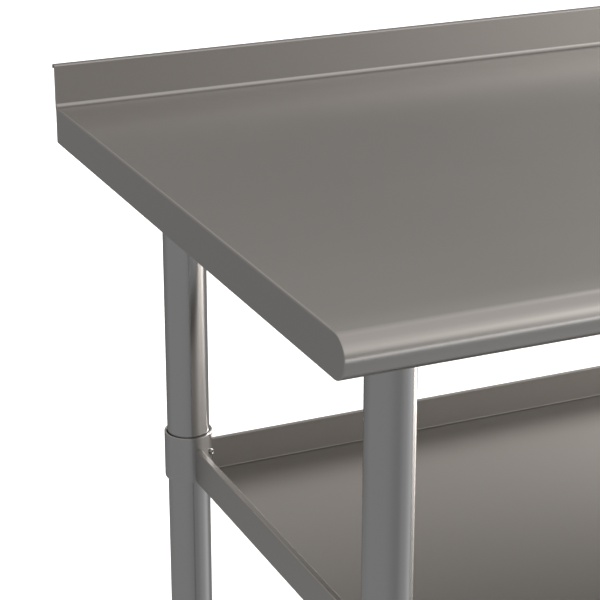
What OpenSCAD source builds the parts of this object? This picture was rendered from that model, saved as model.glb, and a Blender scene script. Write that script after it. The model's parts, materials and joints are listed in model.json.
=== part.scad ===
// Stainless work table: a folded worktop with a rolled front edge and a low
// backsplash, four tube legs on levelling feet, and a tray shelf whose corner
// collars slide on the legs. Millimetres.
// Frame: the origin is on the floor under the middle of the table, +X runs
// along its length, +Y towards the wall behind it, +Z up.

/* [Worktop] */
// Length of the worktop
table_length = 1219.2; // [762:0.1:1828.8]
// Depth from the front roll to the wall side
table_depth = 609.6; // [560:0.1:762]
// Height of the work surface above the floor
work_height = 876.3; // [800:0.1:950]
// Height of the folded edge, which is also the height of the front roll
apron_height = 33.8; // [30:0.1:40]
// Height of the backsplash above the work surface
splash_height = 38.1; // [25:0.1:60]
// Thickness of the sheet that the worktop and the shelf are folded from
sheet = 1.2; // [0.8:0.1:1.6]
// How far the top of the backsplash turns back towards the wall
return_depth = 4.8; // [3:0.1:10]
// How far that return turns down again
return_drop = 4.0; // [3:0.1:10]
// Radius of the bend between the work surface and the backsplash
cove_radius = 4.0; // [2:0.5:8]
// Width of the lip folded in under the aprons
apron_lip = 12.0; // [8:0.5:16]

/* [Legs] */
// Outside diameter of the leg tube
tube_d = 38.1; // [34:0.1:41.3]
// Wall of the leg tube
tube_wall = 1.2; // [1:0.1:1.6]
// Leg axis to the end of the worktop
leg_end_inset = 78.3; // [66:0.1:120]
// Leg axis to the front of the roll
leg_front_inset = 89.2; // [80:0.1:120]
// Leg axis to the wall side
leg_rear_inset = 114.9; // [80:0.1:130]

/* [Undershelf] */
// Height of the shelf's rim above the floor, where the shelf is set
rim_height = 580.5; // [560:0.1:640]
// Height of the shelf's upturned flanges
tray_depth = 33.3; // [25:0.1:40]
// Width of the lip folded in along the shelf's rim
rim_lip = 5.2; // [4:0.1:8]
// Outside diameter of the corner collars
collar_d = 43.6; // [43:0.1:46]
// Clearance between a collar's bore and the leg, on the radius
collar_clearance = 0.75; // [0.3:0.05:1]
// Length of a corner collar
collar_length = 44.2; // [36:0.1:60]
// How far a collar stands above the shelf's rim
collar_stand = 12.2; // [4:0.1:15]
// Diameter of a collar's set screw
screw_d = 5.0; // [4:0.5:8]
// How far a tightened set screw stands out of its collar
screw_stand = 2.0; // [1.5:0.5:8]
// Set screw axis below the top of its collar
screw_drop = 18.4; // [14:0.1:24]

/* [Understructure] */
// Height of the hat channels under the deck
channel_height = 20.0; // [16:0.5:22]
// Width of a channel's crown
crown_width = 96.0; // [94:1:110]
// Width of each channel flange
channel_flange = 18.0; // [14:1:24]
// Side of the square plate of a leg socket
plate_size = 90.0; // [86:1:92]
// Thickness of that plate
plate_thickness = 3.0; // [2:0.5:4]
// Spacing of the four bolts in a plate
bolt_spacing = 66.0; // [62:1:70]
// Diameter of the plate bolts
bolt_d = 6.0; // [5:1:6]
// Depth of a leg socket, its plate included
socket_depth = 35.1; // [30:0.1:60]
// Wall of a leg socket
socket_wall = 3.0; // [2.5:0.5:4]

/* [Feet] */
// Height of the leg tube's lower end above the floor
tube_clearance = 58.0; // [52:1:80]
// Diameter of the foot's threaded stem
stem_d = 12.0; // [10:1:14]
// Largest diameter of the tapered foot
foot_d = 36.0; // [30:1:38]
// Diameter of the glide pad that stands on the floor
pad_d = 30.0; // [26:1:36]
// Height of the glide pad
pad_height = 8.0; // [6:0.5:10]

/* [Hidden] */
$fn = 96;
// Clearances on a side: parts that only touch, a screw in its thread, a bolt in
// its hole, a welded joint, a foot turning in its pad, a leg in its socket
touch_gap = 0.05;
thread_gap = 0.05;
bolt_gap = 0.3;
weld_gap = 0.1;
seat_gap = 0.1;
socket_gap = 0.2;

rear_face = table_depth / 2 - return_depth;
front_face = -table_depth / 2;
roll_radius = apron_height / 2;
roll_axis = front_face + roll_radius;
apron_bottom = work_height - apron_height;
deck_underside = work_height - sheet;
splash_sheet = 2 * sheet;

leg_x = table_length / 2 - leg_end_inset;
leg_front_y = front_face + leg_front_inset;
leg_rear_y = table_depth / 2 - leg_rear_inset;
leg_mid_y = (leg_front_y + leg_rear_y) / 2;
crown_underside = deck_underside - channel_height;
socket_bore = tube_d / 2 + socket_gap;
socket_screw_rise = 10;
socket_screw_z = crown_underside - socket_depth + socket_screw_rise;
socket_screw_length = 8;
screw_hex_flats = 2.5;
screw_hex_depth = 2.5;

floor_underside = rim_height - tray_depth;
floor_top = floor_underside + sheet;
tray_overhang = 0.8;
tray_x = leg_x + tray_overhang;
tray_front = leg_front_y - tray_overhang;
tray_rear = leg_rear_y + tray_overhang;
collar_top = rim_height + collar_stand;
collar_bore = tube_d / 2 + collar_clearance;
collar_screw_z = collar_top - screw_drop;

channel_sheet = 1.2;
channel_y0 = -275;
channel_y1 = 285;
stud_d = 5;
stud_length = 9;
stud_end_distance = 30;
stud_nut_height = 4;
stud_nut_flats = 8;
nut_height = 5;
nut_flats = 10;
bolt_head_height = 5;
bolt_washer_d = 13;
bolt_washer_height = 1.2;
bolt_point = 2;
shelf_channel_length = 960;
shelf_crown_width = 60;
shelf_channel_height = 18;

insert_flange = 3;
insert_depth = 28;
foot_gap = 10;
foot_top = tube_clearance - insert_flange - foot_gap;
hex_height = 9;
hex_flats = 30;
foot_arc_radius = 150;
spigot_d = 8;
spigot_length = 4;
stem_engagement = 34;
stem_top = tube_clearance + stem_engagement;
stem_cover = 12;
stem_bottom = pad_height + stem_cover;
pad_chamfer = 1.5;
pad_seat_depth = 5;

// Corner signs: [left or right, front or rear]
FRONT_LEFT = [-1, -1];
FRONT_RIGHT = [1, -1];
REAR_LEFT = [-1, 1];
REAR_RIGHT = [1, 1];
CORNERS = [FRONT_LEFT, FRONT_RIGHT, REAR_LEFT, REAR_RIGHT];

// ---- helpers ----

function leg_y(corner) = corner[1] < 0 ? leg_front_y : leg_rear_y;

// Direction from a leg's axis towards the middle of the table, in degrees
function inward(corner) = atan2(-corner[1], -corner[0]);

module at_leg(corner) {
    translate([corner[0] * leg_x, leg_y(corner), 0]) children();
}

// A profile drawn as [y, z], swept along X about the middle of the table
module sweep_x(length) {
    rotate([90, 0, 90]) linear_extrude(height = length, center = true) children();
}

// A profile drawn as [x, z], swept along Y
module sweep_y(y0, y1) {
    translate([0, y1, 0]) rotate([90, 0, 0]) linear_extrude(height = y1 - y0) children();
}

module box(low, high) {
    translate(low) cube(high - low);
}

module hexagon_prism(flats, height) {
    cylinder(h = height, d = flats / cos(30), $fn = 6);
}

// A radial cylinder from radius r0 to r1, pointing inward from the leg's axis
module radial_pin(corner, z, d, r0, r1) {
    translate([0, 0, z]) rotate([0, 90, inward(corner)])
        translate([0, 0, r0]) cylinder(h = r1 - r0, d = d);
}

// The four bolt places of a leg socket
module at_plate_bolts() {
    half = bolt_spacing / 2;
    for (x = [-half, half], y = [-half, half]) translate([x, y, 0]) children();
}

// The weld studs that hold the channel flanges up to the deck
module at_channel_studs() {
    reach = (crown_width + channel_flange) / 2;
    rows = [channel_y0 + stud_end_distance, leg_mid_y, channel_y1 - stud_end_distance];
    for (side = [-1, 1], edge = [-1, 1], y = rows)
        translate([side * leg_x + edge * reach, y, 0]) children();
    for (x = [-1, 0, 1], edge = [-1, 1])
        translate([x * leg_x / 2, leg_mid_y + edge * reach, 0]) children();
}

// ---- worktop ----

// Side view of the folded pan: half-round front, square rear, inset by t
module pan_profile(t) {
    translate([roll_axis, work_height - roll_radius]) circle(r = roll_radius - t);
    translate([roll_axis, apron_bottom + t])
        square([rear_face - t - roll_axis, apron_height - 2 * t]);
}

// Backsplash of doubled sheet, with its cove and its wall-side return
module splash_profile() {
    top = work_height + splash_height;
    face = rear_face - splash_sheet;
    translate([face, deck_underside]) square([splash_sheet, top - deck_underside]);
    translate([face, top - sheet]) square([splash_sheet + return_depth, sheet]);
    translate([rear_face + return_depth - sheet, top - return_drop])
        square([sheet, return_drop]);
    difference() {
        translate([face - cove_radius, work_height]) square(cove_radius);
        translate([face - cove_radius, work_height + cove_radius]) circle(r = cove_radius);
    }
}

module worktop() {
    inside = table_length / 2 - sheet;
    mouth = table_length / 2 - apron_lip;
    color("#7d7975") {
        difference() {
            sweep_x(table_length) pan_profile(0);
            sweep_x(2 * inside) pan_profile(sheet);
            box([-mouth, roll_axis, apron_bottom - 1],
                [mouth, rear_face - apron_lip, apron_bottom + 2 * sheet]);
        }
        sweep_x(table_length) splash_profile();
    }
}

// ---- understructure ----

// Hat section below z = 0: flanges against the sheet above, crown hanging down
module hat_profile(crown, height, flange) {
    difference() {
        union() {
            translate([-crown / 2, -height]) square([crown, height]);
            translate([-crown / 2 - flange, -channel_sheet])
                square([crown + 2 * flange, channel_sheet]);
        }
        translate([-crown / 2 + channel_sheet, -height + channel_sheet])
            square([crown - 2 * channel_sheet, height]);
    }
}

module channel_stud_holes() {
    at_channel_studs() translate([0, 0, deck_underside - channel_sheet - 1])
        cylinder(h = channel_sheet + 2, d = stud_d + 2 * bolt_gap);
}

module cross_channel(side) {
    color("#9a9c9c") difference() {
        translate([side * leg_x, 0, deck_underside]) sweep_y(channel_y0, channel_y1)
            hat_profile(crown_width, channel_height, channel_flange);
        channel_stud_holes();
        for (y = [leg_front_y, leg_rear_y]) translate([side * leg_x, y, crown_underside - 1])
            at_plate_bolts() cylinder(h = channel_sheet + 2, d = bolt_d + 2 * bolt_gap);
    }
}

module long_channel() {
    length = 2 * (leg_x - crown_width / 2 - channel_flange - 2);
    color("#9a9c9c") difference() {
        translate([0, leg_mid_y, deck_underside]) sweep_x(length)
            hat_profile(crown_width, channel_height, channel_flange);
        channel_stud_holes();
    }
}

module channel_studs() {
    color("#a8aaab") at_channel_studs() translate([0, 0, deck_underside - stud_length])
        cylinder(h = stud_length, d = stud_d);
}

module channel_nuts() {
    top = deck_underside - channel_sheet;
    color("#b4b5b3") at_channel_studs() translate([0, 0, top - stud_nut_height])
        difference() {
            hexagon_prism(stud_nut_flats, stud_nut_height);
            translate([0, 0, -1])
                cylinder(h = stud_nut_height + 2, d = stud_d + 2 * thread_gap);
        }
}

module leg_socket(corner) {
    color("#8e9091") at_leg(corner) translate([0, 0, crown_underside]) difference() {
        union() {
            box([-plate_size / 2, -plate_size / 2, -plate_thickness],
                [plate_size / 2, plate_size / 2, 0]);
            translate([0, 0, -socket_depth])
                cylinder(h = socket_depth, r = socket_bore + socket_wall);
        }
        translate([0, 0, -socket_depth - 1]) cylinder(h = socket_depth + 2, r = socket_bore);
        at_plate_bolts() translate([0, 0, -plate_thickness - 1])
            cylinder(h = plate_thickness + 2, d = bolt_d + 2 * bolt_gap);
        radial_pin(corner, socket_screw_z - crown_underside, screw_d + 2 * thread_gap,
                   socket_bore - 2, socket_bore + socket_wall + 2);
    }
}

module socket_bolts() {
    underside = crown_underside - plate_thickness - bolt_washer_height;
    grip = bolt_washer_height + plate_thickness + channel_sheet;
    color("#b4b5b3") for (corner = CORNERS) at_leg(corner) at_plate_bolts()
        translate([0, 0, underside]) {
            cylinder(h = bolt_washer_height, d = bolt_washer_d);
            translate([0, 0, -bolt_head_height]) hexagon_prism(nut_flats, bolt_head_height);
            cylinder(h = grip + nut_height + bolt_point, d = bolt_d);
        }
}

module socket_nuts() {
    color("#a8aaab") for (corner = CORNERS) at_leg(corner) at_plate_bolts()
        translate([0, 0, crown_underside + channel_sheet]) difference() {
            hexagon_prism(nut_flats, nut_height);
            translate([0, 0, -1]) cylinder(h = nut_height + 2, d = bolt_d + 2 * thread_gap);
        }
}

// Socket set screw whose tip bears on the leg; it lies inward from the axis
module set_screw(corner, z, length) {
    tip = tube_d / 2 + touch_gap;
    at_leg(corner) difference() {
        radial_pin(corner, z, screw_d, tip, tip + length);
        translate([0, 0, z]) rotate([0, 90, inward(corner)])
            translate([0, 0, tip + length - screw_hex_depth])
                hexagon_prism(screw_hex_flats, screw_hex_depth + 1);
    }
}

module socket_set_screws() {
    color("#58595b") for (corner = CORNERS)
        set_screw(corner, socket_screw_z, socket_screw_length);
}

// ---- legs and feet ----

module leg(corner) {
    top = crown_underside - touch_gap;
    color("#757677") at_leg(corner) translate([0, 0, tube_clearance]) difference() {
        cylinder(h = top - tube_clearance, d = tube_d);
        translate([0, 0, -1])
            cylinder(h = top - tube_clearance + 2, d = tube_d - 2 * tube_wall);
    }
}

// Threaded insert pressed into the lower end of the leg
module leg_insert(corner) {
    color("#6d6f70") at_leg(corner) difference() {
        union() {
            translate([0, 0, tube_clearance - insert_flange])
                cylinder(h = insert_flange - touch_gap, d = tube_d);
            translate([0, 0, tube_clearance - insert_flange])
                cylinder(h = insert_flange + insert_depth,
                         d = tube_d - 2 * tube_wall - 2 * touch_gap);
        }
        translate([0, 0, tube_clearance - insert_flange - 1])
            cylinder(h = insert_flange + insert_depth + 2, d = stem_d + 2 * thread_gap);
    }
}

module foot_stem(corner) {
    color("#a8aaab") at_leg(corner) translate([0, 0, stem_bottom])
        cylinder(h = stem_top - stem_bottom, d = stem_d);
}

// Bullet foot: a tapered round body under a hexagon for a spanner
module foot(corner) {
    low = pad_height + touch_gap;
    shoulder = foot_top - hex_height;
    color("#8b8d8e") at_leg(corner) difference() {
        union() {
            rotate_extrude() intersection() {
                translate([0, low]) square([foot_d / 2, shoulder - low]);
                translate([foot_d / 2 - foot_arc_radius, shoulder])
                    circle(r = foot_arc_radius, $fn = 720);
            }
            translate([0, 0, shoulder]) hexagon_prism(hex_flats, hex_height);
            translate([0, 0, low - spigot_length]) cylinder(h = spigot_length + 1, d = spigot_d);
        }
        translate([0, 0, stem_bottom - touch_gap])
            cylinder(h = foot_top, d = stem_d + 2 * touch_gap);
    }
}

// Glide pad that stays still on the floor while the foot turns in it
module glide_pad(corner) {
    side = pad_d / 2;
    color("#4b4c4d") at_leg(corner) difference() {
        rotate_extrude() polygon([
            [0, 0], [side - pad_chamfer, 0], [side, pad_chamfer],
            [side, pad_height - pad_chamfer], [side - pad_chamfer, pad_height],
            [0, pad_height],
        ]);
        translate([0, 0, pad_height - pad_seat_depth])
            cylinder(h = pad_seat_depth + 1, d = spigot_d + 2 * seat_gap);
    }
}

// ---- undershelf ----

module undershelf_tray() {
    color("#7f7b76") difference() {
        box([-tray_x, tray_front, floor_underside], [tray_x, tray_rear, rim_height]);
        // Hollow below the folded rim
        box([-tray_x + sheet, tray_front + sheet, floor_top],
            [tray_x - sheet, tray_rear - sheet, rim_height - sheet]);
        // Mouth between the lips
        box([-tray_x + rim_lip, tray_front + rim_lip, rim_height - 2 * sheet],
            [tray_x - rim_lip, tray_rear - rim_lip, rim_height + 1]);
        for (corner = CORNERS) at_leg(corner) translate([0, 0, floor_underside - 1])
            cylinder(h = tray_depth + 2, r = collar_d / 2 + weld_gap);
    }
}

module shelf_channel() {
    color("#9a9c9c") translate([0, leg_mid_y, floor_underside - touch_gap])
        sweep_x(shelf_channel_length)
            hat_profile(shelf_crown_width, shelf_channel_height, channel_flange);
}

module shelf_collar(corner) {
    color("#77787a") at_leg(corner) difference() {
        translate([0, 0, collar_top - collar_length]) difference() {
            cylinder(h = collar_length, d = collar_d);
            translate([0, 0, -1]) cylinder(h = collar_length + 2, r = collar_bore);
        }
        radial_pin(corner, collar_screw_z, screw_d + 2 * thread_gap,
                   collar_bore - 2, collar_d / 2 + 2);
    }
}

module collar_screw(corner) {
    length = collar_d / 2 + screw_stand - tube_d / 2 - touch_gap;
    color("#c4c4c2") set_screw(corner, collar_screw_z, length);
}

worktop();
cross_channel(-1);  // cross_channel_left
cross_channel(1);  // cross_channel_right
long_channel();
channel_studs();
channel_nuts();
leg_socket(FRONT_LEFT);  // leg_socket_front_left
leg_socket(FRONT_RIGHT);  // leg_socket_front_right
leg_socket(REAR_LEFT);  // leg_socket_rear_left
leg_socket(REAR_RIGHT);  // leg_socket_rear_right
socket_bolts();
socket_nuts();
socket_set_screws();
leg(FRONT_LEFT);  // leg_front_left
leg(FRONT_RIGHT);  // leg_front_right
leg(REAR_LEFT);  // leg_rear_left
leg(REAR_RIGHT);  // leg_rear_right
leg_insert(FRONT_LEFT);  // leg_insert_front_left
leg_insert(FRONT_RIGHT);  // leg_insert_front_right
leg_insert(REAR_LEFT);  // leg_insert_rear_left
leg_insert(REAR_RIGHT);  // leg_insert_rear_right
foot_stem(FRONT_LEFT);  // foot_stem_front_left
foot_stem(FRONT_RIGHT);  // foot_stem_front_right
foot_stem(REAR_LEFT);  // foot_stem_rear_left
foot_stem(REAR_RIGHT);  // foot_stem_rear_right
foot(FRONT_LEFT);  // foot_front_left
foot(FRONT_RIGHT);  // foot_front_right
foot(REAR_LEFT);  // foot_rear_left
foot(REAR_RIGHT);  // foot_rear_right
glide_pad(FRONT_LEFT);  // glide_pad_front_left
glide_pad(FRONT_RIGHT);  // glide_pad_front_right
glide_pad(REAR_LEFT);  // glide_pad_rear_left
glide_pad(REAR_RIGHT);  // glide_pad_rear_right
undershelf_tray();
shelf_channel();
shelf_collar(FRONT_LEFT);  // shelf_collar_front_left
shelf_collar(FRONT_RIGHT);  // shelf_collar_front_right
shelf_collar(REAR_LEFT);  // shelf_collar_rear_left
shelf_collar(REAR_RIGHT);  // shelf_collar_rear_right
collar_screw(FRONT_LEFT);  // collar_screw_front_left
collar_screw(FRONT_RIGHT);  // collar_screw_front_right
collar_screw(REAR_LEFT);  // collar_screw_rear_left
collar_screw(REAR_RIGHT);  // collar_screw_rear_right
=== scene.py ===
import json
import math

import bmesh
import bpy
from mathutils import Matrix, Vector


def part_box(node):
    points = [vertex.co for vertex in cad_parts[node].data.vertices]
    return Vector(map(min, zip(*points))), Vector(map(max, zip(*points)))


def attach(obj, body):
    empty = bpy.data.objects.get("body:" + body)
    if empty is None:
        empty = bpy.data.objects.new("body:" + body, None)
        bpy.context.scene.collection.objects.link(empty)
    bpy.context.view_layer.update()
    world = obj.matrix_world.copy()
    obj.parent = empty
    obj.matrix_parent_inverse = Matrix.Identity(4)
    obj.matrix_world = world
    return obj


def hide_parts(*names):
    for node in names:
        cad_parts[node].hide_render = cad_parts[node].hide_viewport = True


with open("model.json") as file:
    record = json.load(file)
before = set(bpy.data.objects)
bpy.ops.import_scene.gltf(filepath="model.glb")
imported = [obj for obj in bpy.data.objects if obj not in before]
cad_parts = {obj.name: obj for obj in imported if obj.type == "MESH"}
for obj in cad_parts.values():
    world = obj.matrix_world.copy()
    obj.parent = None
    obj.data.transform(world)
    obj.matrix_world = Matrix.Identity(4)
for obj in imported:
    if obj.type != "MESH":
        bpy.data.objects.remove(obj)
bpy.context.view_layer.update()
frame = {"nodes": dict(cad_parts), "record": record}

# Lengths in this script are in millimetres, and each mesh is scaled to metres when it is made.
MM = 0.001
# Points of one mesh that are closer together than this become one
SAME_POINT = 0.0002
UP = Vector((0, 0, 1))
X, Y, Z = range(3)

CORNERS = {
    "front_left": (-1, -1), "front_right": (1, -1),
    "rear_left": (-1, 1), "rear_right": (1, 1),
}
MOUNTS = {mount["name"]: mount["pos_m"] for mount in frame["record"]["mounts"]}


def span(node, axis):
    """Where a CAD node starts and ends along an axis, to a hundredth of a millimetre."""
    low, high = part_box(node)
    return round(low[axis] / MM, 2), round(high[axis] / MM, 2)


def width(node):
    low, high = span(node, X)
    return high - low


def leg_axis(corner):
    """Where a leg's axis meets the floor, which is also where its glide pad stands."""
    return Vector(MOUNTS["floor_rest_" + corner]) / MM


def inward_of(corner):
    """The level direction from a leg towards the middle of the table."""
    sx, sy = CORNERS[corner]
    return Vector((-sx, -sy, 0)).normalized()


# ---- sizes that the CAD nodes have and their boxes don't show ----

SHEET, TUBE_WALL = 1.2, 1.2
# The backsplash: the bend at its foot, and how far its top turns back and then down
COVE, RETURN_DEPTH, RETURN_DROP = 4.0, 4.8, 4.0
APRON_LIP, RIM_LIP = 12.0, 5.2
# From a leg's surface to the bores of its collar and socket, and to the tip of a set screw
COLLAR_GAP, SOCKET_GAP, TIP_GAP = 0.75, 0.2, 0.05
SCREW_STAND = 2.0
SOCKET_WALL, SOCKET_PLATE = 3.0, 3.0

# ---- sizes and places from the frame ----

HALF_LENGTH = width("worktop") / 2
WALL_SIDE = span("worktop", Y)[1]
# The frame's origin is midway between the wall side and the front of the roll
FRONT = -WALL_SIDE
APRON_BOTTOM, SPLASH_TOP = span("worktop", Z)
DECK_TOP = MOUNTS["work_surface"][Z] / MM
ROLL_RADIUS = (DECK_TOP - APRON_BOTTOM) / 2
ROLL_AXIS = FRONT + ROLL_RADIUS
REAR_FACE = WALL_SIDE - RETURN_DEPTH
SPLASH_FACE = REAR_FACE - 2 * SHEET

TUBE_R = width("leg_front_left") / 2
TUBE_LOW, TUBE_TOP = span("leg_front_left", Z)
SOCKET_R = TUBE_R + SOCKET_GAP + SOCKET_WALL
PLATE_UNDERSIDE = span("leg_socket_front_left", Z)[1] - SOCKET_PLATE
STEM_D = width("foot_stem_front_left")
STEM_LOW, STEM_TOP = span("foot_stem_front_left", Z)

TRAY_X = width("undershelf_tray") / 2
TRAY_FRONT, TRAY_REAR = span("undershelf_tray", Y)
TRAY_FLOOR, RIM = span("undershelf_tray", Z)
COLLAR_R = width("shelf_collar_front_left") / 2
COLLAR_BORE = TUBE_R + COLLAR_GAP
COLLAR_LOW, COLLAR_TOP = span("shelf_collar_front_left", Z)
SCREW_LOW, SCREW_HIGH = span("collar_screw_front_left", Z)
SCREW_Z, SCREW_D = (SCREW_LOW + SCREW_HIGH) / 2, SCREW_HIGH - SCREW_LOW
# A set screw's two ends, from the axis of its leg
SCREW_TIP, SCREW_END = TUBE_R + TIP_GAP, COLLAR_R + SCREW_STAND

# ---- bend radii of the folded sheet, outside ----

SIDE_BEND = 1.9
ROLL_END_EDGE = 0.7
BOTTOM_BEND = 1.6
TRAY_BEND = 2.4
RIM_BEND = 1.0
SPLASH_BEND = 1.5
# The deck leans down a little before the roll, over this length and by this angle
EASE_LENGTH, EASE_ANGLE = 24.0, math.radians(1.6)

# ---- threads, welds and cuts ----

# What a set screw and a foot's stem advance in a turn; the foot's joints have the same ratio
SCREW_PITCH, STEM_PITCH = 0.8, 1.75
SCREW_SOCKET_R, SCREW_SOCKET_DEPTH = 1.45, 2.3
# A thread's depth as a share of its pitch, and the slope of its end chamfers
THREAD_DEPTH, CHAMFER_SLOPE = 0.6, 0.9
SHELF_BEAD_R, SHELF_BEAD_SPREAD = 1.3, 80.0
SOCKET_BEAD_R = 1.5
# How far a cutting solid goes past what it cuts
CUT_MARGIN = 5.0
# Smallest radius left on an edge inside a bend
LEAST_EDGE = 0.15

# ---- camera, placed in metres ----

CAMERA_AT = (-1.1271, -1.3959, 1.3668)
CAMERA_PITCH, CAMERA_YAW = -20.982, 24.024
CAMERA_LENS, SENSOR = 122.62, 36.0

# ---- outlines ----

def rounded(corners):
    """A closed outline through corners (u, v, radius, steps), each turned with an arc."""
    out = []
    for i, (u, v, radius, steps) in enumerate(corners):
        here = Vector((u, v))
        if radius <= 0:
            out.extend([here.copy() for _ in range(steps + 1)])
            continue
        before = (Vector(corners[i - 1][:2]) - here).normalized()
        after = (Vector(corners[(i + 1) % len(corners)][:2]) - here).normalized()
        half = before.angle(after) / 2
        centre = here + (before + after).normalized() * (radius / math.sin(half))
        start = here + before * (radius / math.tan(half)) - centre
        end = here + after * (radius / math.tan(half)) - centre
        a0 = math.atan2(start.y, start.x)
        turn = (math.atan2(end.y, end.x) - a0 + math.pi) % (2 * math.pi) - math.pi
        for k in range(steps + 1):
            a = a0 + turn * k / steps
            out.append(centre + Vector((math.cos(a), math.sin(a))) * radius)
    return out


def inset(corners, depth):
    """The same corners moved inside the outline by depth, with their radii to suit."""
    area = sum(corners[i - 1][0] * c[1] - c[0] * corners[i - 1][1] for i, c in enumerate(corners))
    side = 1 if area > 0 else -1
    out = []
    for i, (u, v, radius, steps) in enumerate(corners):
        here = Vector((u, v))
        a = (here - Vector(corners[i - 1][:2])).normalized()
        b = (Vector(corners[(i + 1) % len(corners)][:2]) - here).normalized()
        na, nb = Vector((-a.y, a.x)) * side, Vector((-b.y, b.x)) * side
        turn = (a.x * b.y - a.y * b.x) * side
        moved = here + (na + nb) * (depth / (1 + na.dot(nb)))
        if radius > 0:
            radius = max(radius - depth if turn > 0 else radius + depth, 0.02)
        out.append((moved.x, moved.y, radius, steps))
    return out


# ---- meshes ----

def make_mesh(name, verts, faces):
    mesh = bpy.data.meshes.new(name)
    mesh.from_pydata([tuple(Vector(v) * MM) for v in verts], [], faces)
    bm = bmesh.new()
    bm.from_mesh(mesh)
    bmesh.ops.remove_doubles(bm, verts=bm.verts, dist=SAME_POINT * MM)
    bmesh.ops.recalc_face_normals(bm, faces=bm.faces)
    bm.to_mesh(mesh)
    bm.free()
    obj = bpy.data.objects.new(name, mesh)
    bpy.context.scene.collection.objects.link(obj)
    return obj


def loft(rings, ring_closed=False, caps=True):
    """Vertices and faces of a skin over rings of equal length; ring_closed joins last to first."""
    n = len(rings[0])
    verts = [p for ring in rings for p in ring]
    faces = []
    count = len(rings) if ring_closed else len(rings) - 1
    for r in range(count):
        a, b = r * n, ((r + 1) % len(rings)) * n
        for i in range(n):
            j = (i + 1) % n
            faces.append((a + i, a + j, b + j, b + i))
    if caps and not ring_closed:
        faces.append(tuple(range(n)))
        faces.append(tuple(range((len(rings) - 1) * n, len(rings) * n)))
    return verts, faces


def revolve(outline, centre, segments=96):
    """A closed outline of (radius, z) turned about a vertical axis through centre."""
    rings = []
    for k in range(segments):
        a = 2 * math.pi * k / segments
        c, s = math.cos(a), math.sin(a)
        rings.append([(centre.x + r * c, centre.y + r * s, z) for r, z in outline])
    return loft(rings, ring_closed=True)


def threaded_rod(major, pitch, low, top, segments=40, rows_per_turn=8):
    """A right-hand thread about the z axis as rings from low to top, with a chamfer at each end."""
    depth = THREAD_DEPTH * pitch
    rows = int((top - low) / pitch * rows_per_turn)
    rings = []
    for row in range(rows + 1):
        z = low + (top - low) * row / rows
        chamfer = major / 2 - depth + min(z - low, top - z) * CHAMFER_SLOPE + 0.1
        ring = []
        for k in range(segments):
            a = 2 * math.pi * k / segments
            # The crest and the root are short flats, and straight flanks join them
            phase = (z / pitch - k / segments) % 1.0
            crest = min(1.0, max(0.0, 1.25 - abs(phase - 0.5) * 3.2))
            r = min(major / 2 - depth * (1 - crest), chamfer)
            ring.append((r * math.cos(a), r * math.sin(a), z))
        rings.append(ring)
    return rings


def arc_path(centre, radius, start, sweep, steps):
    """Points on a level arc round centre, from the angle start through sweep, in radians."""
    angles = (start + sweep * k / steps for k in range(steps + 1))
    return [centre + Vector((math.cos(a), math.sin(a), 0)) * radius for a in angles]


def ring_at(centre, along, radius, count):
    """A ring of points about a level axis."""
    across = along.cross(UP).normalized()
    return [centre + (across * math.cos(a) + UP * math.sin(a)) * radius
            for a in (2 * math.pi * k / count for k in range(count))]


def bead(path, radius, ripple, sides=10):
    """A weld bead: a rippled rod along a level path of points, tapered at its ends."""
    rings = []
    for i, point in enumerate(path):
        ahead = path[min(i + 1, len(path) - 1)] - path[max(i - 1, 0)]
        ahead.normalize()
        across = ahead.cross(UP).normalized()
        up = across.cross(ahead)
        taper = min(1.0, 0.35 + min(i, len(path) - 1 - i) * 0.3)
        r = radius * taper * (1 + 0.16 * math.sin(i * ripple))
        rings.append([
            point + (across * math.cos(t) + up * math.sin(t)) * r
            for t in (2 * math.pi * k / sides for k in range(sides))
        ])
    return loft(rings)


def dress(obj, body, material, replaces=(), crease=32):
    """Smooth shading with creases, the finish, and the CAD body that the piece rides on."""
    obj.data.shade_smooth()
    obj.data.set_sharp_from_angle(angle=math.radians(crease))
    soften = obj.modifiers.new("normals", "WEIGHTED_NORMAL")
    soften.keep_sharp = True
    obj.data.materials.clear()
    obj.data.materials.append(material)
    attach(obj, body)
    if replaces:
        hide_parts(*replaces)
    return obj


# ---- node trees ----

class Tree:
    """Adds shader nodes by type, with inputs given as values or as other nodes' sockets."""

    def __init__(self, tree):
        self.tree = tree
        tree.nodes.clear()

    def add(self, kind, inputs=None, **settings):
        node = self.tree.nodes.new(kind)
        for key, value in settings.items():
            setattr(node, key, value)
        for key, value in (inputs or {}).items():
            if isinstance(value, bpy.types.NodeSocket):
                self.tree.links.new(value, node.inputs[key])
            else:
                node.inputs[key].default_value = value
        return node

    def math(self, operation, *values):
        node = self.add("ShaderNodeMath", dict(enumerate(values)), operation=operation)
        return node.outputs[0]

    def scale(self, vector, factor):
        node = self.add("ShaderNodeVectorMath", {0: vector, "Scale": factor}, operation="SCALE")
        return node.outputs[0]

    def plus(self, a, b):
        return self.add("ShaderNodeVectorMath", {0: a, 1: b}, operation="ADD").outputs[0]

    def ramp(self, factor, stops):
        """A colour ramp through (position, RGBA) stops; gives its colour and its alpha."""
        node = self.add("ShaderNodeValToRGB", {0: factor})
        elements = node.color_ramp.elements
        elements[0].position, elements[0].color = stops[0]
        elements[1].position, elements[1].color = stops[-1]
        for position, colour in stops[1:-1]:
            elements.new(position).color = colour
        return node.outputs

    def noise(self, vector, scale, detail=2.0):
        node = self.add("ShaderNodeTexNoise", {"Vector": vector, "Scale": scale, "Detail": detail})
        return node.outputs[0]

    def stretch(self, vector, scale):
        return self.add("ShaderNodeMapping", {"Vector": vector, "Scale": scale}).outputs[0]


def new_material(name):
    material = bpy.data.materials.new(name)
    material.use_nodes = True
    return material, Tree(material.node_tree)


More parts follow.
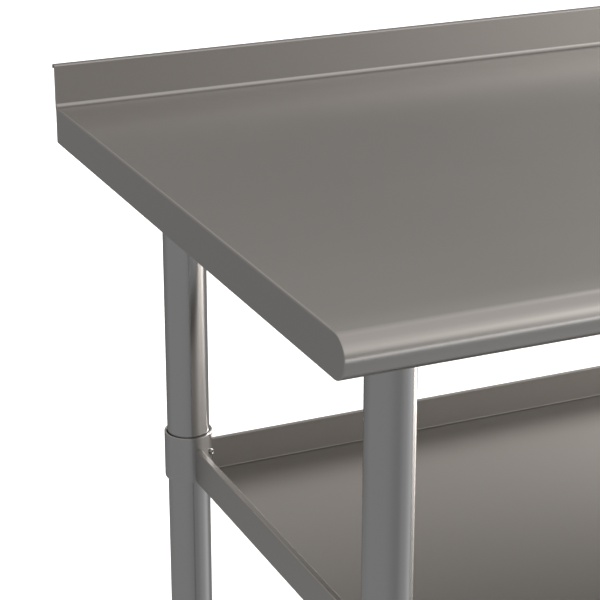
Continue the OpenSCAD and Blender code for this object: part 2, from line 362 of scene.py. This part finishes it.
def metal(name, colour, roughness, grain=(3.0, 700.0, 700.0), brushed=None, grain_depth=0.003,
          streak=0.02, smudge=0.03, mottle=0.0, mottle_scale=120.0, anisotropic=0.4):
    """A metal finish with a directional grain, faint smudges, and mottling for plated steel."""
    material, t = new_material(name)
    place = t.add("ShaderNodeTexCoord").outputs["Object"]
    fine = t.noise(t.stretch(place, grain), 1.0, 3.0)
    wide = t.noise(t.stretch(place, tuple(g / 9 for g in grain)), 1.0, 2.0)
    lines = t.math("MULTIPLY", t.math("ADD", fine, wide), 0.5)
    cloud = t.noise(place, 5.0, 3.0)
    patch = t.add("ShaderNodeTexVoronoi", {"Vector": place, "Scale": mottle_scale}).outputs["Color"]
    patch = t.add("ShaderNodeSeparateColor", {0: patch}).outputs[0]
    shade = t.math("ADD", 1 - streak / 2 - mottle / 2, t.math("MULTIPLY", lines, streak))
    shade = t.math("ADD", shade, t.math("MULTIPLY", patch, mottle))
    tone = t.scale(colour, shade)
    rough = t.math("ADD", roughness - smudge / 2, t.math("MULTIPLY", cloud, smudge))
    rough = t.math("ADD", rough, t.math("MULTIPLY", t.math("SUBTRACT", lines, 0.5), streak))
    rough = t.math("ADD", rough, t.math("MULTIPLY", t.math("SUBTRACT", patch, 0.5), mottle * 0.6))
    bump = t.add("ShaderNodeBump", {"Height": lines, "Strength": grain_depth, "Distance": 0.4 * MM})
    inputs = {
        "Base Color": tone, "Metallic": 1.0, "Roughness": rough, "Normal": bump.outputs[0],
    }
    if brushed:
        normal = t.add("ShaderNodeNewGeometry").outputs["Normal"]
        across = t.add("ShaderNodeVectorMath", {0: normal, 1: brushed}, operation="CROSS_PRODUCT")
        inputs["Anisotropic"] = anisotropic
        inputs["Tangent"] = across.outputs[0]
    shader = t.add("ShaderNodeBsdfPrincipled", inputs)
    t.add("ShaderNodeOutputMaterial", {"Surface": shader.outputs[0]})
    return material


def nylon(name, colour, roughness):
    """A moulded plastic with a fine pebbled grain and scuffs."""
    material, t = new_material(name)
    place = t.add("ShaderNodeTexCoord").outputs["Object"]
    pebble = t.noise(place, 900.0, 2.0)
    scuff = t.noise(place, 60.0, 4.0)
    shade = t.math("ADD", 0.85, t.math("MULTIPLY", scuff, 0.3))
    rough = t.math("ADD", roughness - 0.1, t.math("MULTIPLY", scuff, 0.2))
    bump = t.add("ShaderNodeBump", {"Height": pebble, "Strength": 0.15, "Distance": 0.3 * MM})
    shader = t.add("ShaderNodeBsdfPrincipled", {
        "Base Color": t.scale(colour, shade), "Roughness": rough, "Normal": bump.outputs[0],
    })
    t.add("ShaderNodeOutputMaterial", {"Surface": shader.outputs[0]})
    return material


ALONG_X, ALONG_Z = (1.0, 0.0, 0.02), (0.0, 0.0, 1.0)
X_GRAIN, Z_GRAIN = (4.0, 500.0, 500.0), (500.0, 500.0, 4.0)
FINISH = {
    "worktop_sheet": metal("worktop_sheet", (0.50, 0.488, 0.475), 0.24, X_GRAIN, ALONG_X,
                           anisotropic=0.3),
    "shelf_sheet": metal("shelf_sheet", (0.50, 0.483, 0.464), 0.37, X_GRAIN, ALONG_X),
    "leg_tube": metal("leg_tube", (0.50, 0.50, 0.50), 0.16, Z_GRAIN, ALONG_Z, anisotropic=0.2),
    "collar_steel": metal("collar_steel", (0.50, 0.50, 0.50), 0.26, Z_GRAIN, ALONG_Z,
                          anisotropic=0.3),
    "bright_screw": metal("bright_screw", (0.62, 0.62, 0.61), 0.2, (300, 300, 300)),
    "galvanised_steel": metal("galvanised_steel", (0.58, 0.59, 0.59), 0.38, (60, 60, 60),
                              mottle=0.16, mottle_scale=90.0),
    "socket_steel": metal("socket_steel", (0.52, 0.53, 0.53), 0.34, (150, 150, 20), smudge=0.1),
    "zinc_plate": metal("zinc_plate", (0.64, 0.65, 0.64), 0.30, (200, 200, 200), mottle=0.06,
                        mottle_scale=260.0),
    "blackened_screw": metal("blackened_screw", (0.13, 0.13, 0.14), 0.42, (300, 300, 300)),
    "insert_zinc": metal("insert_zinc", (0.40, 0.41, 0.42), 0.45, (400, 400, 400),
                         grain_depth=0.2, mottle=0.08, mottle_scale=300.0),
    "stem_steel": metal("stem_steel", (0.60, 0.60, 0.59), 0.28, (40, 40, 900)),
    "foot_steel": metal("foot_steel", (0.52, 0.52, 0.52), 0.26, (30, 30, 1200)),
    "pad_nylon": nylon("pad_nylon", (0.07, 0.07, 0.07), 0.55),
    "weld_bead": metal("weld_bead", (0.44, 0.43, 0.42), 0.36, (200, 200, 200), grain_depth=0.2,
                       mottle=0.1, mottle_scale=400.0),
}


# ---- worktop ----

def smooth_step(x):
    x = min(1.0, max(0.0, x))
    return x * x * (3 - 2 * x)


def rounded_ends(corners, half, edge, steps, inner=0.0):
    """Rings of an outline from -X to +X whose end edges are rounded by edge(y, z)."""
    base = rounded(inset(corners, inner) if inner else corners)
    # Each point's drift into the outline, from a second outline a small step inside
    step = 0.02
    moved = rounded(inset(corners, inner + step))
    drift = [(b - a) / step for a, b in zip(base, moved)]
    reach = half - inner
    rings = []
    for sign in (-1, 1):
        turns = range(steps, -1, -1) if sign < 0 else range(steps + 1)
        for k in turns:
            a = math.pi / 2 * k / steps
            ring = []
            for p, d in zip(base, drift):
                r = max(edge(p.x, p.y) - inner, LEAST_EDGE)
                q = p + d * (r * (1 - math.cos(a)))
                ring.append((sign * (reach - r * (1 - math.sin(a))), q.x, q.y))
            rings.append(ring)
    return rings


def pan_edge(y, z):
    """Radius of the worktop's end edges: a crisp weld at the roll, a fold further back."""
    crisp_to, blend_y, blend_z = ROLL_AXIS - 6, 20, 12
    top = ROLL_END_EDGE + (SIDE_BEND - ROLL_END_EDGE) * smooth_step((y - crisp_to) / blend_y)
    low = smooth_step((z - APRON_BOTTOM) / blend_z)
    return top * low + min(BOTTOM_BEND, top) * (1 - low)


def worktop_pan():
    """The folded pan: deck, half-round front, side and rear aprons, and the lips under them."""
    lip_edge = REAR_FACE - APRON_LIP
    ease_y = ROLL_AXIS + EASE_LENGTH / 2
    drop = (ease_y - FRONT) * math.tan(EASE_ANGLE)
    corners = [
        (lip_edge, APRON_BOTTOM, 0, 0), (REAR_FACE, APRON_BOTTOM, BOTTOM_BEND + 0.1, 5),
        (REAR_FACE, DECK_TOP, SIDE_BEND + 0.3, 3), (ease_y, DECK_TOP, EASE_LENGTH / EASE_ANGLE, 12),
        (FRONT, DECK_TOP - drop, ROLL_RADIUS - drop, 20), (FRONT, APRON_BOTTOM, ROLL_RADIUS, 20),
    ]
    # An outer and an inner skin, each left open underneath between the lips
    skins = []
    for inner in (0.0, SHEET):
        rings = rounded_ends(corners, HALF_LENGTH, pan_edge, 6, inner)
        flat = rounded(inset(corners, inner) if inner else corners)
        mouth = HALF_LENGTH - APRON_LIP
        middle = [[(x, p.x, p.y) for p in flat] for x in (-mouth, mouth)]
        half = len(rings) // 2
        skins.append(rings[:half] + middle + rings[half:])
    n = len(skins[0][0])
    verts, faces, gap = [], [], len(skins[0]) // 2 - 1
    for rings in skins:
        start = len(verts)
        verts.extend(p for ring in rings for p in ring)
        for r in range(len(rings) - 1):
            a, b = start + r * n, start + (r + 1) * n
            for i in range(n):
                j = (i + 1) % n
                if r == gap and i == n - 1:
                    continue
                faces.append((a + i, a + j, b + j, b + i))
        faces.append(tuple(range(start, start + n)))
        faces.append(tuple(range(start + (len(rings) - 1) * n, start + len(rings) * n)))
    # The lips' edges join the two skins round the opening
    inner_start = len(skins[0]) * n
    a, b = gap * n, (gap + 1) * n
    for p, q in ((a, a + n - 1), (b, b + n - 1), (a, b), (a + n - 1, b + n - 1)):
        faces.append((p, q, inner_start + q, inner_start + p))
    return verts, faces


def splash():
    """The doubled backsplash with its cove, its end edges and the return at its top."""
    low = DECK_TOP - SIDE_BEND - 0.4
    toe = SPLASH_FACE - COVE
    # Held this far off the pan's faces, so that no two faces share a plane
    off = 0.03
    corners = [
        (toe, low, 0, 0), (toe, DECK_TOP, 0, 0), (SPLASH_FACE, DECK_TOP, COVE - 0.02, 10),
        (SPLASH_FACE, SPLASH_TOP, SPLASH_BEND, 6), (WALL_SIDE, SPLASH_TOP, SPLASH_BEND, 6),
        (WALL_SIDE, SPLASH_TOP - RETURN_DROP, 0.3, 2),
        (WALL_SIDE - SHEET, SPLASH_TOP - RETURN_DROP, 0.3, 2),
        (WALL_SIDE - SHEET, SPLASH_TOP - SHEET, 0.4, 3),
        (REAR_FACE + off, SPLASH_TOP - SHEET, 0.4, 3), (REAR_FACE + off, low, 0, 0),
    ]
    return loft(rounded_ends(corners, HALF_LENGTH - off, lambda y, z: 0.35, 3))


def build_worktop():
    verts, faces = worktop_pan()
    more, more_faces = splash()
    faces = faces + [tuple(i + len(verts) for i in f) for f in more_faces]
    top = make_mesh("worktop_sheet", verts + more, faces)
    dress(top, "table", FINISH["worktop_sheet"], ["worktop"])


# ---- undershelf ----

def cut_away(obj, cutters):
    """Takes the cutters' solids out of obj and removes them."""
    for cutter in cutters:
        tool = obj.modifiers.new("cut", "BOOLEAN")
        tool.operation, tool.solver, tool.object = "DIFFERENCE", "EXACT", cutter
    bpy.context.view_layer.update()
    graph = bpy.context.evaluated_depsgraph_get()
    mesh = bpy.data.meshes.new_from_object(obj.evaluated_get(graph))
    obj.modifiers.clear()
    obj.data = mesh
    for cutter in cutters:
        bpy.data.objects.remove(cutter)


def build_tray():
    """The shelf: a flat floor folded up on four sides, with a lip folded in along the rim."""
    # How far each side's profile runs in before the floor is one flat face
    floor_reach = 34.0
    top = TRAY_FLOOR + SHEET
    corners = [
        (floor_reach, TRAY_FLOOR, 0, 0), (0, TRAY_FLOOR, TRAY_BEND, 6), (0, RIM, RIM_BEND, 6),
        (RIM_LIP, RIM, 0.45, 3), (RIM_LIP, RIM - SHEET, 0.3, 2),
        (SHEET, RIM - SHEET, 0.3, 2), (SHEET, top, TRAY_BEND - SHEET, 4),
        (floor_reach, top, 0, 0),
    ]
    outline = rounded(corners)
    rings = [
        [(-TRAY_X + t, TRAY_FRONT + t, z), (TRAY_X - t, TRAY_FRONT + t, z),
         (TRAY_X - t, TRAY_REAR - t, z), (-TRAY_X + t, TRAY_REAR - t, z)]
        for t, z in outline
    ]
    tray = make_mesh("shelf_tray", *loft(rings))
    low, high, radius = TRAY_FLOOR - CUT_MARGIN, RIM + CUT_MARGIN, COLLAR_R + 0.1
    core = [(0.0, low), (radius, low), (radius, high), (0.0, high)]
    cut_away(tray, [make_mesh("cut_" + corner, *revolve(core, leg_axis(corner), 128))
                    for corner in CORNERS])
    dress(tray, "undershelf", FINISH["shelf_sheet"], ["undershelf_tray"])


def build_collar(corner):
    """A short sleeve with softened edges and the hole of its set screw."""
    corners = [(COLLAR_BORE, COLLAR_LOW, 0.4, 3), (COLLAR_R, COLLAR_LOW, 0.6, 4),
               (COLLAR_R, COLLAR_TOP, 0.6, 4), (COLLAR_BORE, COLLAR_TOP, 0.4, 3)]
    axis, inward = leg_axis(corner), inward_of(corner)
    outline = [tuple(p) for p in rounded(corners)]
    sleeve = make_mesh("collar_" + corner, *revolve(outline, axis, 128))
    rings = [ring_at(axis + inward * r + UP * SCREW_Z, inward, SCREW_D / 2 + 0.05, 40)
             for r in (COLLAR_BORE - CUT_MARGIN, COLLAR_R + CUT_MARGIN)]
    cut_away(sleeve, [make_mesh("cut_" + corner, *loft(rings))])
    dress(sleeve, "undershelf", FINISH["collar_steel"], ["shelf_collar_" + corner])


def build_set_screw(corner):
    """A threaded set screw, pointing inward, with a hexagon socket in its end."""
    axis, inward = leg_axis(corner) + UP * SCREW_Z, inward_of(corner)
    across = inward.cross(UP).normalized()
    segments, lead_in = 48, 0.25

    def place(ring):
        return [axis + inward * z + across * x + UP * y for x, y, z in ring]

    rod = threaded_rod(SCREW_D, SCREW_PITCH, SCREW_TIP, SCREW_END, segments, 10)
    rings = [place(ring) for ring in rod]
    socket = [(SCREW_SOCKET_R + lead_in, SCREW_END), (SCREW_SOCKET_R, SCREW_END - lead_in),
              (SCREW_SOCKET_R, SCREW_END - SCREW_SOCKET_DEPTH)]
    for r, z in socket:
        ring = []
        for k in range(segments):
            a = 2 * math.pi * k / segments
            flat = math.cos(math.pi / 6) / math.cos((a % (math.pi / 3)) - math.pi / 6)
            ring.append((r * flat * math.cos(a), r * flat * math.sin(a), z))
        rings.append(place(ring))
    screw = make_mesh("set_screw_" + corner, *loft(rings))
    dress(screw, "set_screw_" + corner, FINISH["bright_screw"],
          ["collar_screw_" + corner], crease=40)


def build_shelf_weld(corner):
    """The bead between the tray's floor and its collar, on the underside."""
    centre, inward = leg_axis(corner) + UP * (TRAY_FLOOR + 0.1), inward_of(corner)
    sweep = math.radians(SHELF_BEAD_SPREAD)
    start = math.atan2(inward.y, inward.x) - sweep / 2
    path = arc_path(centre, COLLAR_R + 0.4, start, sweep, 48)
    weld = make_mesh("shelf_weld_" + corner, *bead(path, SHELF_BEAD_R, 1.9))
    dress(weld, "undershelf", FINISH["weld_bead"], crease=60)


# ---- legs and feet ----

def build_leg(corner):
    corners = [(TUBE_R - TUBE_WALL, TUBE_LOW, 0.3, 2), (TUBE_R, TUBE_LOW, 0.4, 3),
               (TUBE_R, TUBE_TOP, 0.4, 3), (TUBE_R - TUBE_WALL, TUBE_TOP, 0.3, 2)]
    outline = [tuple(p) for p in rounded(corners)]
    leg = make_mesh("leg_tube_" + corner, *revolve(outline, leg_axis(corner), 160))
    dress(leg, "table", FINISH["leg_tube"], ["leg_" + corner])


def build_stem(corner):
    axis = leg_axis(corner)
    rings = [[axis + Vector(p) for p in ring]
             for ring in threaded_rod(STEM_D, STEM_PITCH, STEM_LOW, STEM_TOP, 48, 10)]
    stem = make_mesh("threaded_stem_" + corner, *loft(rings))
    dress(stem, "foot_" + corner, FINISH["stem_steel"], ["foot_stem_" + corner],
          crease=50)


def build_socket_weld(corner):
    """The bead between a leg socket's tube and its plate."""
    centre = leg_axis(corner) + UP * (PLATE_UNDERSIDE - 0.5)
    path = arc_path(centre, SOCKET_R + 0.5, 0.0, 2 * math.pi, 96)
    weld = make_mesh("socket_weld_" + corner, *bead(path, SOCKET_BEAD_R, 1.7))
    dress(weld, "table", FINISH["weld_bead"], crease=60)


# ---- CAD nodes that stay as they are, with softened edges ----

# For each finish, the width of the softened edges and the nodes that get them
SOFTENED = {
    "galvanised_steel": (0.35, ["cross_channel_left", "cross_channel_right", "long_channel",
                                "shelf_channel"]),
    "zinc_plate": (0.3, ["channel_studs", "channel_nuts", "socket_bolts", "socket_nuts"]),
    "blackened_screw": (0.25, ["socket_set_screws"]),
    "socket_steel": (0.5, ["leg_socket_" + c for c in CORNERS]),
    "insert_zinc": (0.4, ["leg_insert_" + c for c in CORNERS]),
    "foot_steel": (0.6, ["foot_" + c for c in CORNERS]),
    "pad_nylon": (0.5, ["glide_pad_" + c for c in CORNERS]),
}


def soften_nodes():
    for slot, (edge, nodes) in SOFTENED.items():
        for name in nodes:
            obj = frame["nodes"][name]
            obj.data.materials.clear()
            obj.data.materials.append(FINISH[slot])
            weld = obj.modifiers.new("join", "WELD")
            weld.merge_threshold = 0.001 * MM
            bevel = obj.modifiers.new("edges", "BEVEL")
            bevel.width, bevel.segments = edge * MM, 2
            bevel.limit_method, bevel.angle_limit = "ANGLE", math.radians(40)
            bevel.use_clamp_overlap = True
            obj.modifiers.new("normals", "WEIGHTED_NORMAL").keep_sharp = True


# ---- surroundings ----

def degrees_up(el):
    return (el + 90) / 180


def degrees_round(az):
    return (az + 180) / 360


WARM, NEUTRAL = (1.0, 0.955, 0.915), (1.0, 1.0, 1.0)
# The light is warm above this elevation, just under the horizon
WARM_ABOVE = -4
SKY_SCALE = 12.0
# The studio's walls as brightness against elevation in degrees
BACK = [(-90, 0.60), (-70, 0.50), (-60, 0.26), (-30, 0.26), (-23, 0.11), (-17, 0.14),
        (-10, 0.24), (0, 0.27), (10, 0.24), (20, 0.28), (24, 0.52), (28, 0.66), (34, 0.60),
        (60, 0.64), (90, 0.64)]
FRONT_SIDE = [(-90, 0.24), (-60, 0.31), (-20, 0.31), (-14, 0.36), (-12.5, 1.9), (-9, 1.9),
              (-7, 0.34), (-2, 0.26), (6, 0.28), (11, 0.38), (15, 0.58), (20, 0.64), (24, 0.72),
              (50, 0.72), (60, 0.62), (90, 0.60)]
LEFT = [(-90, 0.30), (-50, 0.33), (-20, 0.34), (0, 0.36), (20, 0.40), (40, 0.60), (90, 0.72)]
RIGHT = [(-90, 0.30), (-62, 0.38), (-45, 0.55), (-24, 0.66), (-13, 1.2), (-4, 5.4), (8, 7.4),
         (13, 7.0), (30, 5.0), (38, 1.2), (46, 0.72), (60, 0.66), (90, 0.62)]
WINDOW = [(-90, 0.30), (-10, 0.30), (2, 3.0), (10, 10.0), (30, 10.0), (38, 2.0), (48, 0.64),
          (90, 0.62)]
# How much of the back, front, right and window columns is seen in each direction round the
# horizon; the left column makes up the rest
ROUND = [(-180, (0, 1, 0, 0)), (-130, (0, 0, 0, 0)), (-60, (0, 0, 0, 0)), (-35, (0.35, 0, 0, 0)),
         (-10, (0.6, 0, 0, 0)), (8, (1, 0, 0, 0)), (40, (1, 0, 0, 0)), (48, (0.7, 0, 0, 0.3)),
         (55, (0, 0, 0, 1)), (76, (0, 0, 0, 1)), (86, (0, 0, 0.7, 0.3)), (92, (0, 0, 1, 0)),
         (104, (0, 0, 1, 0)), (114, (0, 0.35, 0.65, 0)), (128, (0, 0.7, 0.3, 0)),
         (142, (0, 0.88, 0.12, 0)), (155, (0, 1, 0, 0)), (180, (0, 1, 0, 0))]
# Overall brightness round the horizon
LEVEL_SCALE = 1.2
LEVEL = [(-180, 0.9), (-150, 1.0), (-20, 1.0), (10, 0.82), (20, 0.84), (26, 0.86), (33, 0.95),
         (42, 1.1), (55, 1.0), (120, 1.0), (142, 1.06), (150, 1.04), (157, 0.96), (165, 0.88),
         (180, 0.9)]


def column(tree, factor, stops):
    """The light down one side of the studio, neutral below the horizon and warm above it."""
    tinted = []
    for el, value in stops:
        tint = NEUTRAL if el < WARM_ABOVE else WARM
        tinted.append((degrees_up(el), (*(value / SKY_SCALE * c for c in tint), 1)))
    return tree.ramp(factor, tinted)[0]


def build_world():
    world = bpy.data.worlds.new("studio")
    bpy.context.scene.world = world
    world.use_nodes = True
    t = Tree(world.node_tree)
    look = t.add("ShaderNodeTexCoord").outputs["Generated"]
    parts = t.add("ShaderNodeSeparateXYZ", {0: look}).outputs
    around = t.math("ARCTAN2", parts[0], parts[1])
    around = t.math("ADD", t.math("DIVIDE", around, 2 * math.pi), 0.5)
    up = t.math("ADD", t.math("DIVIDE", t.math("ARCSINE", parts[2]), math.pi), 0.5)
    shares, window = t.ramp(around, [(degrees_round(az), rgba) for az, rgba in ROUND])
    level = t.ramp(around, [(degrees_round(az), (v / LEVEL_SCALE,) * 3 + (1,)) for az, v in LEVEL])
    share = [*t.add("ShaderNodeSeparateColor", {0: shares}).outputs, window]
    sum_shares = t.math("ADD", t.math("ADD", share[0], share[1]), t.math("ADD", share[2], window))
    light = t.scale(column(t, up, LEFT), t.math("SUBTRACT", 1.0, sum_shares))
    for part, stops in zip(share, (BACK, FRONT_SIDE, RIGHT, WINDOW)):
        light = t.plus(light, t.scale(column(t, up, stops), part))
    light = t.scale(light, level[0])
    studio = t.add("ShaderNodeBackground", {"Color": light, "Strength": SKY_SCALE * LEVEL_SCALE})
    paper = t.add("ShaderNodeBackground", {"Color": (1, 1, 1, 1), "Strength": 1.0})
    seen = t.add("ShaderNodeLightPath").outputs["Is Camera Ray"]
    mix = t.add("ShaderNodeMixShader", {0: seen, 1: studio.outputs[0], 2: paper.outputs[0]})
    t.add("ShaderNodeOutputWorld", {"Surface": mix.outputs[0]})


def build_floor():
    """A plain pale floor, clear from below, that isn't mirrored in the steel."""
    reach = 20000
    square = [(-reach, -reach, 0), (reach, -reach, 0), (reach, reach, 0), (-reach, reach, 0)]
    floor = make_mesh("studio_floor", square, [(0, 1, 2, 3)])
    material, t = new_material("paper_floor")
    pale = t.add("ShaderNodeBsdfDiffuse", {"Color": (0.9, 0.9, 0.9, 1)})
    glow = t.add("ShaderNodeEmission", {"Color": (1, 1, 1, 1), "Strength": 0.62})
    both = t.add("ShaderNodeAddShader", {0: pale.outputs[0], 1: glow.outputs[0]})
    clear = t.add("ShaderNodeBsdfTransparent")
    below = t.add("ShaderNodeNewGeometry").outputs["Backfacing"]
    mix = t.add("ShaderNodeMixShader", {0: below, 1: both.outputs[0], 2: clear.outputs[0]})
    t.add("ShaderNodeOutputMaterial", {"Surface": mix.outputs[0]})
    floor.data.materials.append(material)
    floor.visible_glossy = False
    floor.visible_diffuse = False


def build_camera():
    camera = bpy.data.objects.new("camera", bpy.data.cameras.new("camera"))
    camera.location = CAMERA_AT
    camera.rotation_euler = (math.radians(90 + CAMERA_PITCH), 0, -math.radians(CAMERA_YAW))
    camera.data.lens, camera.data.sensor_width = CAMERA_LENS, SENSOR
    bpy.context.scene.collection.objects.link(camera)
    bpy.context.scene.camera = camera
    bpy.context.scene.view_settings.view_transform = "Standard"


build_worktop()
build_tray()
for corner in CORNERS:
    build_collar(corner)
    build_set_screw(corner)
    build_shelf_weld(corner)
    build_leg(corner)
    build_stem(corner)
    build_socket_weld(corner)
soften_nodes()
build_world()
build_floor()
build_camera()
